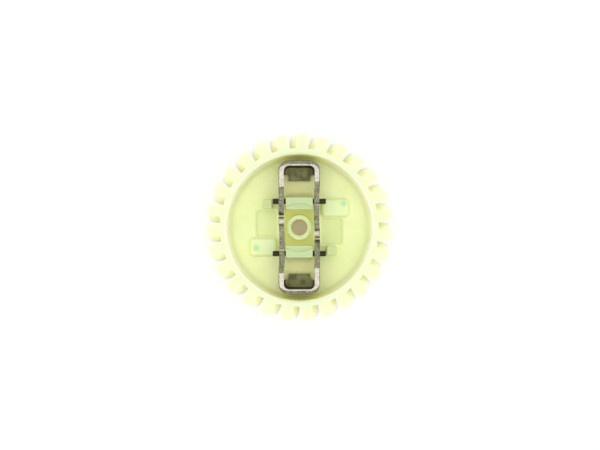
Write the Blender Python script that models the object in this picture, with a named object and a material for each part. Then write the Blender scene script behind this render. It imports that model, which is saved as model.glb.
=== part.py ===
"""Governor gear: a moulded helical cup gear that carries two stamped flyweights on steel pins.

Z is the gear's axis and points out of the open side of the cup, and the back of the gear is at Z = 0.
The pivot pins lie along X, one on each side of the axis in Y. All lengths are in metres.
"""

import math

import bmesh
import bpy
from mathutils import Matrix, Vector

# Clearance between pieces that touch or run on each other
SEAT_GAP = 0.0003

# Teeth: left-hand helix, full-depth involute, with the thick teeth of a plastic gear that meshes with steel
TOOTH_COUNT = 27
NORMAL_MODULE = 0.00238
PRESSURE_ANGLE = math.radians(14.5)
HELIX_ANGLE = math.radians(12)
FACE_WIDTH = 0.0125
TOOTH_SHARE = 0.57
TIP_ROUND = 0.0003
ROOT_ROUND = 0.0010
TOOTH_END_CHAMFER = 0.0003
FIRST_TOOTH_ANGLE = math.radians(87.9)

# Cup: the rim wall is measured at the mouth, from the roots of the teeth
RIM_WALL = 0.0024
CUP_TAPER = 0.0010
FLOOR_HEIGHT = 0.0035
FLOOR_ROUND = 0.0015
MOUTH_ROUND = 0.0008

# Back of the gear: a shallow relief between the hub boss and the rim
BACK_RELIEF = 0.0008
BACK_BOSS_RADIUS = 0.0080
BACK_RIM_WIDTH = 0.0032

# Hub tube
BORE_DIAMETER = 0.0060
HUB_WALL = 0.0018
HUB_TOP = 0.0090
HUB_CHAMFER = 0.00035

# Tower: a pedestal round the hub between two bearing posts
PIVOT_SPACING = 0.0198
PIVOT_BELOW_MOUTH = 0.0022
TOWER_WIDTH = 0.0101
PEDESTAL_RISE = 0.0015
POST_ABOVE_PIVOT = 0.0027
POST_INSIDE = 0.0030
POST_OUTSIDE = 0.0014
POST_TAPER = 0.0021
POST_FOOT_ROUND = 0.0018
POST_TOP_ROUND = 0.0003
SPOOL_SEAT_RADIUS = 0.0094
SPOOL_SEAT_DEPTH = 0.0007

# Pivot pins
PIN_DIAMETER = 0.0020
PIN_OVERHANG = 0.00225
PIN_CHAMFER = 0.0002

# Stop posts, pads and sunk panels on the floor of the cup
STOP_LENGTH = 0.0038
STOP_WIDTH = 0.0035
STOP_PAST_PIVOT = 0.0006
STOP_ABOVE_PIVOT = 0.0017
PAD_CLEARANCE = 0.0008
PAD_LENGTH = 0.0103
PAD_WIDTH = 0.0067
PAD_PAST_PIVOT = 0.0010
PAD_RISE = 0.0017
PANEL_LENGTH = 0.0079
PANEL_MARGIN = 0.0004
PANEL_DEPTH = 0.0007
BLOCK_CORNER = 0.0006
EJECTOR_MARK_RADIUS = 0.0009
EJECTOR_MARK_DEPTH = 0.0002
EJECTOR_MARK_FROM_END = 0.0020
EJECTOR_MARK_FROM_SIDE = 0.0015

# Flyweights: sheet metal, measured from the pivot
SHEET = 0.0020
ARM_CLEARANCE = 0.0005
ARM_SET = 0.00025
WEIGHT_TO_MOUTH = 0.0022
WEIGHT_CORNER = 0.0040
BEND_INSIDE = 0.0010
WEIGHT_ABOVE_PIVOT = 0.0035
END_EDGE_ROUND = 0.0010
ARM_EDGE_ROUND = 0.0003
PLATE_DEPTH = 0.0052
TAB_DEPTH = 0.0023
TAB_WIDTH = 0.0083
NOTCH_ROUND = 0.0007
LUG_RADIUS = 0.0026
ARM_DEPTH_AT_PLATE = 0.0033
ARM_LEVEL = 0.0010
LONG_SHOULDER = 0.0073
SHORT_SHOULDER = 0.0054
SHORT_REACH = 0.0054
SHORT_END_RADIUS = 0.0021
WEIGHT_TO_WEIGHT = 0.00033
TOE_RADIUS = 0.00175
TOE_RISE = 0.0017
TOE_ARC = (math.radians(-100), math.radians(-357))
SHORT_END_ARC = (math.radians(-95), math.radians(-260))
FINGER_RISE = 0.0022

# How far a cutter runs out past what it cuts, and how deep a block is set into what it joins
OVERRUN = 0.0010
SUNK = 0.0005

# Facets, the most of a side that one rounded corner takes, and the distance at which points are one
CUP_STEPS = 72
HUB_STEPS = 48
HOLE_STEPS = 24
ARC_STEPS = 4
HELIX_STEPS = 2
CORNER_SHARE = 0.48
SAME_POINT = 1e-7

# Sizes that follow from the ones above
PITCH_RADIUS = TOOTH_COUNT * NORMAL_MODULE / math.cos(HELIX_ANGLE) / 2
TIP_RADIUS = PITCH_RADIUS + NORMAL_MODULE
ROOT_RADIUS = PITCH_RADIUS - 1.25 * NORMAL_MODULE
MOUTH_RADIUS = ROOT_RADIUS - RIM_WALL
BORE_RADIUS = BORE_DIAMETER / 2
HUB_RADIUS = BORE_RADIUS + HUB_WALL
PIVOT_HEIGHT = FACE_WIDTH - PIVOT_BELOW_MOUTH
PIVOT_Y = PIVOT_SPACING / 2
PIN_RADIUS = PIN_DIAMETER / 2
PIN_HOLE_RADIUS = PIN_RADIUS + SEAT_GAP
TOWER_HALF = TOWER_WIDTH / 2
POST_TOP = PIVOT_HEIGHT + POST_ABOVE_PIVOT
ARM_INSIDE = TOWER_HALF + ARM_CLEARANCE + ARM_SET
ARM_OUTSIDE = ARM_INSIDE + SHEET
PIN_HALF = ARM_OUTSIDE + PIN_OVERHANG
WEIGHT_LENGTH = MOUTH_RADIUS - WEIGHT_TO_MOUTH - PIVOT_Y
WEIGHT_BOTTOM = FLOOR_HEIGHT + SEAT_GAP - PIVOT_HEIGHT
TOE_REACH = PIVOT_SPACING - SHORT_REACH - WEIGHT_TO_WEIGHT
PAD_INNER_Y = PIVOT_Y + PAD_PAST_PIVOT - PAD_WIDTH
STOP_INNER_Y = PIVOT_Y + STOP_PAST_PIVOT - STOP_WIDTH
PAD_START = ARM_OUTSIDE + PAD_CLEARANCE
BLOCK_FOOT = FLOOR_HEIGHT - SUNK


def clear_scene():
    for old in list(bpy.data.objects):
        bpy.data.objects.remove(old, do_unlink=True)


def make_material(name, colour, roughness, metallic):
    made = bpy.data.materials.new(name)
    made.use_nodes = True
    shader = made.node_tree.nodes["Principled BSDF"]
    shader.inputs["Base Color"].default_value = (*colour, 1)
    shader.inputs["Roughness"].default_value = roughness
    shader.inputs["Metallic"].default_value = metallic
    return made


def arc(centre, radius, start, end, steps):
    """Points along an arc, from one angle to another."""
    angles = [start + (end - start) * i / steps for i in range(steps + 1)]
    return [Vector((centre[0] + radius * math.cos(a), centre[1] + radius * math.sin(a))) for a in angles]


def rounded(corners, steps=ARC_STEPS):
    """The outline through corners of (a, b, radius), with an arc in place of each corner that has a radius."""
    outline = []
    for index, (a, b, radius) in enumerate(corners):
        corner = Vector((a, b))
        if not radius:
            outline.append(corner)
            continue
        before = Vector(corners[index - 1][:2]) - corner
        after = Vector(corners[(index + 1) % len(corners)][:2]) - corner
        half = before.angle(after) / 2
        reach = min(radius / math.tan(half), CORNER_SHARE * before.length, CORNER_SHARE * after.length)
        centre = corner + (before.normalized() + after.normalized()).normalized() * reach / math.cos(half)
        start = corner + before.normalized() * reach - centre
        turn = start.angle_signed(corner + after.normalized() * reach - centre)
        for step in range(steps + 1):
            outline.append(centre + Matrix.Rotation(-turn * step / steps, 2) @ start)
    return outline


def rectangle(x_low, x_high, y_low, y_high, radius):
    corners = [(x_low, y_low), (x_high, y_low), (x_high, y_high), (x_low, y_high)]
    return rounded([(x, y, radius) for x, y in corners])


def loft(rings):
    """A closed solid through rings of equally many points, capped at its two ends."""
    shape = bmesh.new()
    rows = [[shape.verts.new(point) for point in ring] for ring in rings]
    count = len(rows[0])
    for low, high in zip(rows, rows[1:]):
        for i in range(count):
            j = (i + 1) % count
            shape.faces.new((low[i], low[j], high[j], high[i]))
    shape.faces.new(list(reversed(rows[0])))
    shape.faces.new(rows[-1])
    return finish(shape)


def finish(shape):
    """The mesh of a closed shape, with every face turned outwards."""
    bmesh.ops.remove_doubles(shape, verts=shape.verts, dist=SAME_POINT)
    bmesh.ops.recalc_face_normals(shape, faces=shape.faces)
    mesh = bpy.data.meshes.new("shape")
    shape.to_mesh(mesh)
    shape.free()
    return mesh


def upright(outline, low, high):
    """An outline in X and Y, extruded along Z."""
    return loft([[(p[0], p[1], z) for p in outline] for z in (low, high)])


def sideways(outline, low, high):
    """An outline in Y and Z, extruded along X."""
    return loft([[(x, p[0], p[1]) for p in outline] for x in (low, high)])


def revolve(profile, steps=CUP_STEPS):
    """A closed profile in radius and Z, turned about the Z axis."""
    shape = bmesh.new()
    verts = [shape.verts.new((p[0], 0, p[1])) for p in profile]
    edges = [shape.edges.new((a, b)) for a, b in zip(verts, verts[1:] + verts[:1])]
    bmesh.ops.spin(
        shape,
        geom=verts + edges,
        cent=(0, 0, 0),
        axis=(0, 0, 1),
        angle=2 * math.pi,
        steps=steps,
        use_merge=True,
    )
    bmesh.ops.remove_doubles(shape, verts=shape.verts, dist=SAME_POINT)
    bmesh.ops.dissolve_degenerate(shape, edges=shape.edges, dist=SAME_POINT)
    on_axis = [edge for edge in shape.edges if not edge.link_faces]
    bmesh.ops.delete(shape, geom=on_axis, context="EDGES")
    return finish(shape)


def shaft_along_x(radius, half_length, chamfer, y, z, steps=HOLE_STEPS):
    """A round bar along X, chamfered at both ends."""
    stations = [(-half_length, radius - chamfer), (chamfer - half_length, radius)]
    stations += [(-x, size) for x, size in reversed(stations)]
    return loft([[(x, *p) for p in arc((y, z), size, 0, 2 * math.pi, steps)[:-1]] for x, size in stations])


def turned_half_round(mesh):
    """A copy of a mesh, turned by half a turn about Z."""
    copy = mesh.copy()
    copy.transform(Matrix.Rotation(math.pi, 4, "Z"))
    return copy


def both_sides(mesh):
    return [mesh, turned_half_round(mesh)]


def combined(base, tools, operation):
    """The mesh left by a Boolean of base with each tool in turn."""
    for tool in tools:
        body = bpy.data.objects.new("body", base)
        cutter = bpy.data.objects.new("cutter", tool)
        for item in (body, cutter):
            bpy.context.scene.collection.objects.link(item)
        boolean = body.modifiers.new("boolean", "BOOLEAN")
        boolean.solver = "EXACT"
        boolean.operation = operation
        boolean.object = cutter
        graph = bpy.context.evaluated_depsgraph_get()
        base = bpy.data.meshes.new_from_object(body.evaluated_get(graph))
        for item in (body, cutter):
            bpy.data.objects.remove(item, do_unlink=True)
    return base


def tooth_outline(inset):
    """All the teeth in one plane, with the whole outline drawn in by inset."""
    tip = TIP_RADIUS - inset
    root = ROOT_RADIUS - inset
    transverse = math.atan(math.tan(PRESSURE_ANGLE) / math.cos(HELIX_ANGLE))
    base = PITCH_RADIUS * math.cos(transverse)

    def half_angle(radius):
        """Half the angle that a tooth takes up at a radius."""
        pressure = math.acos(min(1, base / radius))
        at_pitch = math.pi * TOOTH_SHARE / TOOTH_COUNT
        rolled = (math.tan(transverse) - transverse) - (math.tan(pressure) - pressure)
        return at_pitch + rolled - inset / radius

    flank_low = root + 1.25 * ROOT_ROUND
    flank_high = tip - TIP_ROUND
    side = [(root, half_angle(root), ROOT_ROUND)]
    side += [(flank_low + (flank_high - flank_low) * i / 2, None, 0) for i in range(3)]
    side += [(tip, half_angle(tip), TIP_ROUND)]
    side = [(r, half_angle(r) if a is None else a, size) for r, a, size in side]
    corners = []
    for tooth in range(TOOTH_COUNT):
        middle = FIRST_TOOTH_ANGLE + 2 * math.pi * tooth / TOOTH_COUNT
        ring = [(r, middle - a, size) for r, a, size in side]
        ring += [(r, middle + a, size) for r, a, size in reversed(side)]
        ring += [(root, middle + math.pi / TOOTH_COUNT, 0)]
        corners += [(r * math.cos(a), r * math.sin(a), size) for r, a, size in ring]
    return rounded(corners, steps=2)


def make_toothed_blank():
    """The solid gear blank: the teeth turn anticlockwise, seen from the open side, as they go down."""
    twist = math.tan(HELIX_ANGLE) / PITCH_RADIUS
    full = tooth_outline(0)
    drawn_in = tooth_outline(TOOTH_END_CHAMFER)
    low = TOOTH_END_CHAMFER
    high = FACE_WIDTH - TOOTH_END_CHAMFER
    levels = [(0, drawn_in)]
    levels += [(low + (high - low) * i / HELIX_STEPS, full) for i in range(HELIX_STEPS + 1)]
    levels += [(FACE_WIDTH, drawn_in)]
    rings = []
    for z, outline in levels:
        turn = Matrix.Rotation((FACE_WIDTH - z) * twist, 2)
        rings.append([(*(turn @ point), z) for point in outline])
    return loft(rings)


def cup_cutter():
    """The inside of the cup: a rounded floor, a wall that tapers out, and a rounded lip."""
    above = FACE_WIDTH + OVERRUN
    lip_middle = (MOUTH_RADIUS + MOUTH_ROUND, FACE_WIDTH - MOUTH_ROUND)
    lip = arc(lip_middle, MOUTH_ROUND, math.pi, math.pi / 2, ARC_STEPS)
    corners = [(0, FLOOR_HEIGHT, 0), (MOUTH_RADIUS - CUP_TAPER, FLOOR_HEIGHT, FLOOR_ROUND)]
    corners += [(*point, 0) for point in lip]
    corners += [(lip_middle[0], above, 0), (0, above, 0)]
    return revolve(rounded(corners))


def back_cutter():
    """The relief in the back, a ring between the boss and the rim."""
    outer = ROOT_RADIUS - BACK_RIM_WIDTH
    profile = [
        (BACK_BOSS_RADIUS - BACK_RELIEF / 2, -OVERRUN),
        (outer + BACK_RELIEF / 2, -OVERRUN),
        (outer, BACK_RELIEF),
        (BACK_BOSS_RADIUS, BACK_RELIEF),
    ]
    return revolve(profile)


def bearing_post():
    """One post of the tower: an upright inner face, a sloping outer face and a rounded foot."""
    inner = PIVOT_Y - POST_INSIDE
    outer = PIVOT_Y + POST_OUTSIDE
    foot = outer + POST_TAPER
    corners = [
        (inner, BLOCK_FOOT, 0),
        (inner, POST_TOP, POST_TOP_ROUND),
        (outer, POST_TOP, POST_TOP_ROUND),
        (foot - POST_FOOT_ROUND / 2, FLOOR_HEIGHT, POST_FOOT_ROUND),
        (foot + POST_FOOT_ROUND, FLOOR_HEIGHT, 0),
        (foot + POST_FOOT_ROUND, BLOCK_FOOT, 0),
    ]
    return sideways(rounded(corners), -TOWER_HALF, TOWER_HALF)


def pedestal():
    reach = PIVOT_Y - POST_INSIDE + POST_OUTSIDE
    outline = rectangle(-TOWER_HALF, TOWER_HALF, -reach, reach, 0)
    return upright(outline, BLOCK_FOOT, FLOOR_HEIGHT + PEDESTAL_RISE)


def hub_tube():
    profile = [
        (0, BLOCK_FOOT),
        (HUB_RADIUS, BLOCK_FOOT),
        (HUB_RADIUS, HUB_TOP - HUB_CHAMFER),
        (HUB_RADIUS - HUB_CHAMFER, HUB_TOP),
        (0, HUB_TOP),
    ]
    return revolve(profile, HUB_STEPS)


def bore_cutter():
    """The bore, with a chamfer at each end."""
    wide = BORE_RADIUS + HUB_CHAMFER
    profile = [
        (0, -OVERRUN),
        (wide, -OVERRUN),
        (wide, 0),
        (BORE_RADIUS, HUB_CHAMFER),
        (BORE_RADIUS, HUB_TOP - HUB_CHAMFER),
        (wide, HUB_TOP),
        (wide, HUB_TOP + OVERRUN),
        (0, HUB_TOP + OVERRUN),
    ]
    return revolve(profile, HUB_STEPS)


def spool_seat_cutter():
    low = POST_TOP - SPOOL_SEAT_DEPTH
    high = POST_TOP + OVERRUN
    return revolve([(0, low), (SPOOL_SEAT_RADIUS, low), (SPOOL_SEAT_RADIUS, high), (0, high)], HUB_STEPS)


def pin_hole_cutter():
    return shaft_along_x(PIN_HOLE_RADIUS, TOWER_HALF + OVERRUN, 0, PIVOT_Y, PIVOT_HEIGHT)


def stop_post():
    """The tall block that each pin is pushed up against."""
    start = PIN_HALF + SEAT_GAP
    outline = rectangle(-start - STOP_LENGTH, -start, STOP_INNER_Y, STOP_INNER_Y + STOP_WIDTH, BLOCK_CORNER)
    return upright(outline, BLOCK_FOOT, PIVOT_HEIGHT + STOP_ABOVE_PIVOT)


def low_pad():
    """The low pad under the end where a pin goes in."""
    outline = rectangle(PAD_START, PAD_START + PAD_LENGTH, PAD_INNER_Y, PAD_INNER_Y + PAD_WIDTH, BLOCK_CORNER)
    return upright(outline, BLOCK_FOOT, FLOOR_HEIGHT + PAD_RISE)


def ejector_mark_cutter():
    """The round mark that an ejector leaves near the outer end of a pad."""
    x = PAD_START + PAD_LENGTH - EJECTOR_MARK_FROM_END
    y = PAD_INNER_Y + PAD_WIDTH - EJECTOR_MARK_FROM_SIDE
    top = FLOOR_HEIGHT + PAD_RISE
    outline = arc((x, y), EJECTOR_MARK_RADIUS, 0, 2 * math.pi, HOLE_STEPS // 2)[:-1]
    return upright(outline, top - EJECTOR_MARK_DEPTH, top + OVERRUN)


def sunk_panel_cutter():
    """The shallow panel in the floor between a stop post and the pad of the other pin."""
    outline = rectangle(
        -PAD_START - PANEL_LENGTH,
        -PAD_START,
        PANEL_MARGIN - PAD_INNER_Y,
        STOP_INNER_Y - PANEL_MARGIN,
        BLOCK_CORNER,
    )
    return upright(outline, FLOOR_HEIGHT - PANEL_DEPTH, FLOOR_HEIGHT + OVERRUN)


def make_gear():
    mesh = combined(make_toothed_blank(), [cup_cutter(), back_cutter()], "DIFFERENCE")
    blocks = both_sides(bearing_post()) + both_sides(stop_post()) + both_sides(low_pad())
    mesh = combined(mesh, [pedestal(), hub_tube(), *blocks], "UNION")
    cutters = [bore_cutter(), spool_seat_cutter()]
    for cutter in (pin_hole_cutter(), ejector_mark_cutter(), sunk_panel_cutter()):
        cutters += both_sides(cutter)
    return combined(mesh, cutters, "DIFFERENCE")


def weight_plan(side_inset, end_inset, beyond):
    """The flyweight's outline from above, closed at the outer end and open at the fingers.

    Its sides and its end are drawn in by their insets, and its corners are ellipses between the two.
    The long arm, on the +X side, is set in a little over its pivot.
    """
    half = ARM_OUTSIDE - side_inset
    set_in = half - ARM_SET
    toe = LUG_RADIUS + 2 * TOE_RADIUS - TOE_REACH
    outline = [(-half, -beyond), (half, -beyond), (half, toe - 2 * TOE_RADIUS)]
    outline += [(set_in, toe), (set_in, LUG_RADIUS), (half, LUG_RADIUS + 2 * TOE_RADIUS)]
    quarter = arc((0, 0), 1, 0, math.pi / 2, 2 * ARC_STEPS)
    wide = WEIGHT_CORNER - side_inset
    long = WEIGHT_CORNER - end_inset
    corner = [(half - wide + wide * p.x, WEIGHT_LENGTH - WEIGHT_CORNER + long * p.y) for p in quarter]
    return outline + corner + [(-x, y) for x, y in reversed(corner)]


def weight_shell():
    """Sheet of one thickness: a plate with a wall bent up round three sides of it."""
    beyond = TOE_REACH + TOE_RADIUS
    bend_outside = BEND_INSIDE + SHEET
    edge_start = WEIGHT_ABOVE_PIVOT - END_EDGE_ROUND
    plate_top = WEIGHT_BOTTOM + SHEET
    outer, edge, inner = [], [], []
    for point in arc((0, 0), 1, 0, math.pi / 2, ARC_STEPS):
        drawn_in = bend_outside * (1 - point.y)
        outer.append((drawn_in, drawn_in, WEIGHT_BOTTOM + bend_outside * (1 - point.x)))
        edge_height = edge_start + END_EDGE_ROUND * point.y
        edge.append((ARM_EDGE_ROUND * (1 - point.x), END_EDGE_ROUND * (1 - point.x), edge_height))
        drawn_in = SHEET + BEND_INSIDE * (1 - point.y)
        inner.append((drawn_in, drawn_in, plate_top + BEND_INSIDE * (1 - point.x)))
    inner.append((SHEET, SHEET, WEIGHT_ABOVE_PIVOT + OVERRUN))
    outside = loft([[(*p, z) for p in weight_plan(side, end, beyond)] for side, end, z in outer + edge])
    inside = loft([[(*p, z) for p in weight_plan(side, end, beyond + OVERRUN)] for side, end, z in inner])
    return combined(outside, [inside], "DIFFERENCE")


def plate_region():
    """The part of the shell that keeps its plate: the whole outer end, and the tab."""
    edge = WEIGHT_LENGTH - PLATE_DEPTH
    tab = TAB_WIDTH / 2
    wide = ARM_OUTSIDE + OVERRUN
    end = WEIGHT_LENGTH + OVERRUN
    corners = [
        (-wide, end, 0),
        (-wide, edge, 0),
        (-tab, edge, NOTCH_ROUND),
        (-tab, edge - TAB_DEPTH, NOTCH_ROUND / 2),
        (tab, edge - TAB_DEPTH, NOTCH_ROUND / 2),
        (tab, edge, NOTCH_ROUND),
        (wide, edge, 0),
        (wide, end, 0),
    ]
    return upright(rounded(corners), WEIGHT_BOTTOM - OVERRUN, WEIGHT_ABOVE_PIVOT + OVERRUN)


def arm_region(shoulder, finger):
    """The side view of an arm: the edge below, the finger and its end, and the slope up to the shoulder."""
    edge = WEIGHT_LENGTH - PLATE_DEPTH
    inside_plate = edge + OVERRUN
    slope = (WEIGHT_ABOVE_PIVOT - finger[-1][1]) / (shoulder - finger[-1][0])
    corners = [(inside_plate, -ARM_DEPTH_AT_PLATE, 0)]
    corners += [(edge - ARM_LEVEL, -ARM_DEPTH_AT_PLATE, LUG_RADIUS), (LUG_RADIUS / 4, -LUG_RADIUS, LUG_RADIUS)]
    corners += finger
    corners += [(inside_plate, WEIGHT_ABOVE_PIVOT + slope * (inside_plate - shoulder), 0)]
    return rounded(corners)


def long_arm_region():
    """The long arm ends in a round toe that stands up above the finger."""
    out = math.sqrt((TOE_REACH - TOE_RADIUS) ** 2 - TOE_RISE**2)
    toe = arc((-out, TOE_RISE), TOE_RADIUS, *TOE_ARC, 4 * ARC_STEPS)
    finger = [(*point, 0) for point in toe]
    finger += [(-LUG_RADIUS / 2, FINGER_RISE, LUG_RADIUS)]
    outline = arm_region(LONG_SHOULDER, finger)
    return sideways(outline, TOWER_HALF, ARM_OUTSIDE + 2 * OVERRUN)


def short_arm_region():
    """The short arm ends in a plain round end, just past its pivot."""
    out = SHORT_REACH - SHORT_END_RADIUS
    end = arc((-out, 0), SHORT_END_RADIUS, *SHORT_END_ARC, 3 * ARC_STEPS)
    outline = arm_region(SHORT_SHOULDER, [(*point, 0) for point in end])
    return sideways(outline, -ARM_OUTSIDE - 2 * OVERRUN, -TOWER_HALF)


def make_flyweight():
    """A flyweight about its own pivot, with its heavy end towards +Y."""
    region = combined(plate_region(), [long_arm_region(), short_arm_region()], "UNION")
    mesh = combined(weight_shell(), [region], "INTERSECT")
    hole = shaft_along_x(PIN_HOLE_RADIUS, ARM_OUTSIDE + OVERRUN, 0, 0, 0)
    return combined(mesh, [hole], "DIFFERENCE")


def place(name, mesh, material, location=(0, 0, 0), turn=0):
    mesh.materials.clear()
    mesh.materials.append(material)
    mesh.shade_smooth()
    mesh.set_sharp_from_angle(angle=math.radians(30))
    made = bpy.data.objects.new(name, mesh)
    made.location = location
    made.rotation_euler = (0, 0, turn)
    bpy.context.scene.collection.objects.link(made)
    return made


def main():
    clear_scene()
    nylon = make_material("pale_green_nylon", (0.80, 0.86, 0.42), 0.35, 0)
    stamped_steel = make_material("stamped_steel", (0.45, 0.43, 0.36), 0.35, 1)
    black_steel = make_material("black_oxide_steel", (0.03, 0.03, 0.025), 0.45, 1)

    place("gear", make_gear(), nylon)
    pin = shaft_along_x(PIN_RADIUS, PIN_HALF, PIN_CHAMFER, 0, 0)
    weight = make_flyweight()
    for name, side, turn in (("upper", 1, 0), ("lower", -1, math.pi)):
        pivot = (0, side * PIVOT_Y, PIVOT_HEIGHT)
        place(f"pivot_pin_{name}", pin, black_steel, pivot)
        place(f"flyweight_{name}", weight, stamped_steel, pivot, turn)


main()
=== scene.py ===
# %% [markdown]
# # Governor gear
# This part sits on the governor shaft of a small engine. A moulded nylon gear is turned by the crankshaft,
# and stamped steel flyweights swing on pins inside its cup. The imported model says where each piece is. The
# cells below load it, set up the camera, and then model every piece again as a finer mesh with its own
# finish.

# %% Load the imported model
import math

import bmesh
import bpy
from mathutils import Matrix, Vector


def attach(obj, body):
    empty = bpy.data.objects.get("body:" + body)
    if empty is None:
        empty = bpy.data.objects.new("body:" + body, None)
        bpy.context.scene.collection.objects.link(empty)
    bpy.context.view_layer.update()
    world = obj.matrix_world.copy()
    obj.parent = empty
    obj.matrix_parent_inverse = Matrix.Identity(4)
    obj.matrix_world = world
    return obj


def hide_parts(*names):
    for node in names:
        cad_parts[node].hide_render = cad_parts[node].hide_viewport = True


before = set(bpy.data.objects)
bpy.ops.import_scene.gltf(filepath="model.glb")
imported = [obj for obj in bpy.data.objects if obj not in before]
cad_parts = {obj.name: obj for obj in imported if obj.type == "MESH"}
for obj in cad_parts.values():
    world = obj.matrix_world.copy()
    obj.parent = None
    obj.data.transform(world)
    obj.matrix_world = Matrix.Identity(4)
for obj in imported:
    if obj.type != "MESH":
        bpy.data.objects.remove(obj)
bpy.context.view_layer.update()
MM = 0.001
print("packed nodes:", ", ".join(sorted(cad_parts)))

# %% [markdown]
# ## Camera
# The photograph looks straight down on white paper. The camera's height decides how much larger the rim
# looks than the paper below it, so it is set first, and every shape is then judged through it. The scale on
# the paper and the height together give the lens.

# %% Place the camera
PIXELS_WIDE = 600
PIXELS_PER_MM = 65.4 / 25.4
GEAR_CENTRE_PIXEL = Vector((299.3, 227.4))
IMAGE_CENTRE_PIXEL = Vector((300, 225))
CAMERA_HEIGHT = 400
SENSOR_WIDTH = 36

offset = (IMAGE_CENTRE_PIXEL - GEAR_CENTRE_PIXEL) / PIXELS_PER_MM
camera_data = bpy.data.cameras.new("camera")
camera_data.sensor_width = SENSOR_WIDTH
camera_data.lens = SENSOR_WIDTH * CAMERA_HEIGHT * PIXELS_PER_MM / PIXELS_WIDE
camera = bpy.data.objects.new("camera", camera_data)
camera.location = Vector((offset.x, -offset.y, CAMERA_HEIGHT)) * MM
bpy.context.scene.collection.objects.link(camera)
bpy.context.scene.camera = camera
bpy.context.scene.view_settings.view_transform = "Standard"
print("lens:", round(camera_data.lens, 1), "mm")

# %% [markdown]
# ## Outlines
# Most forms here start as a flat outline: a tooth, a block seen from above, an arm seen from the side. An
# outline is a list of corners, and a corner can have a radius, which puts an arc in its place. Writing the
# corners and letting one function make the arcs keeps the sizes readable.

# %% Turn corners into an outline
ARC_STEPS = 6
CORNER_SHARE = 0.48


def arc(middle, radius, start, end, steps=ARC_STEPS):
    """Points along an arc, from one angle to another in degrees."""
    angles = [math.radians(start + (end - start) * step / steps) for step in range(steps + 1)]
    return [Vector((middle[0] + radius * math.cos(a), middle[1] + radius * math.sin(a))) for a in angles]


def rounded(corners, steps=ARC_STEPS):
    """The outline through corners of (a, b, radius), with an arc wherever the radius isn't zero."""
    outline = []
    for index, (a, b, radius) in enumerate(corners):
        corner = Vector((a, b))
        if not radius:
            outline.append(corner)
            continue
        before = Vector(corners[index - 1][:2]) - corner
        after = Vector(corners[(index + 1) % len(corners)][:2]) - corner
        half = before.angle(after) / 2
        reach = min(radius / math.tan(half), CORNER_SHARE * before.length, CORNER_SHARE * after.length)
        middle = corner + (before.normalized() + after.normalized()).normalized() * reach / math.cos(half)
        start = corner + before.normalized() * reach - middle
        turn = start.angle_signed(corner + after.normalized() * reach - middle)
        outline += [middle + Matrix.Rotation(-turn * step / steps, 2) @ start for step in range(steps + 1)]
    return outline


print("a rounded square has", len(rounded([(0, 0, 1), (4, 0, 1), (4, 4, 1), (0, 4, 1)])), "points")

# %% [markdown]
# ## Operators that every piece uses
# A circle with as many corners as an outline has points is the simplest start for any form: its corners are
# put on the outline, and edit mode then extrudes, spins or fills it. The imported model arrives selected, so
# everything is deselected before anything is added.

# %% Start a piece from a circle
MERGE_DISTANCE = 0.0005


def make_active(piece):
    """Select one piece alone, so that the next operator works on nothing else."""
    bpy.ops.object.select_all(action="DESELECT")
    piece.select_set(True)
    bpy.context.view_layer.objects.active = piece


def circle(name, corners):
    """A plain circle of edges, one metre in radius, with as many corners as an outline has points."""
    bpy.ops.object.select_all(action="DESELECT")
    bpy.ops.mesh.primitive_circle_add(vertices=corners)
    piece = bpy.context.object
    piece.name = name
    return piece


def put_on_outline(piece, points):
    """Move the corners of a piece, in their order, to points in millimetres."""
    for vertex, point in zip(piece.data.vertices, points):
        vertex.co = Vector(point) * MM


def tidy_faces(piece):
    """Merge points that meet, drop loose edges and turn every face outwards."""
    make_active(piece)
    bpy.ops.object.mode_set(mode="EDIT")
    bpy.ops.mesh.select_all(action="SELECT")
    bpy.ops.mesh.remove_doubles(threshold=MERGE_DISTANCE * MM)
    bpy.ops.mesh.delete_loose()
    bpy.ops.mesh.select_all(action="SELECT")
    bpy.ops.mesh.normals_make_consistent(inside=False)
    bpy.ops.object.mode_set(mode="OBJECT")


print("points closer than", MERGE_DISTANCE, "mm are merged")

# %% Build a form from rings, from a flat outline or on a lathe
def stack(name, rings, caps=True):
    """A form through rings of equally many points, extruded as a plain tube and then put on the rings."""
    piece = circle(name, len(rings[0]))
    bpy.ops.object.mode_set(mode="EDIT")
    bpy.ops.mesh.select_mode(type="VERT")
    bpy.ops.mesh.select_all(action="SELECT")
    if caps:
        bpy.ops.mesh.edge_face_add()
    for _ in rings[1:]:
        bpy.ops.mesh.extrude_region_move(TRANSFORM_OT_translate={"value": (0, 0, 1)})
    bpy.ops.object.mode_set(mode="OBJECT")
    put_on_outline(piece, [point for level in rings for point in level])
    if caps:
        tidy_faces(piece)
    return piece


def prism(name, outline, low, high):
    """An outline in Y and Z, made solid along X."""
    return stack(name, [[(x, p[0], p[1]) for p in outline] for x in (low, high)])


def lathe(name, profile, facets):
    """A closed profile in radius and Z, spun about the Z axis."""
    piece = circle(name, len(profile))
    put_on_outline(piece, [(p[0], 0, p[1]) for p in profile])
    bpy.ops.object.mode_set(mode="EDIT")
    bpy.ops.mesh.select_all(action="SELECT")
    bpy.ops.mesh.spin(steps=facets, angle=2 * math.pi, center=(0, 0, 0), axis=(0, 0, 1))
    bpy.ops.object.mode_set(mode="OBJECT")
    tidy_faces(piece)
    return piece


def combine(target, tool, operation):
    """Join a second solid to a piece, or cut it away, and delete the second solid."""
    make_active(target)
    boolean = target.modifiers.new("boolean", "BOOLEAN")
    boolean.operation = operation
    boolean.object = tool
    bpy.ops.object.modifier_apply(modifier=boolean.name)
    bpy.data.objects.remove(tool, do_unlink=True)


test_ring = lathe("test_ring", [(2, 0), (3, 0), (3, 1), (2, 1)], 12)
print("a 12-sided ring has", len(test_ring.data.polygons), "faces")
bpy.data.objects.remove(test_ring, do_unlink=True)

# %% Round edges that pass a test, and copy a piece by half a turn
SAME_PLACE = 0.01


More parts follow.
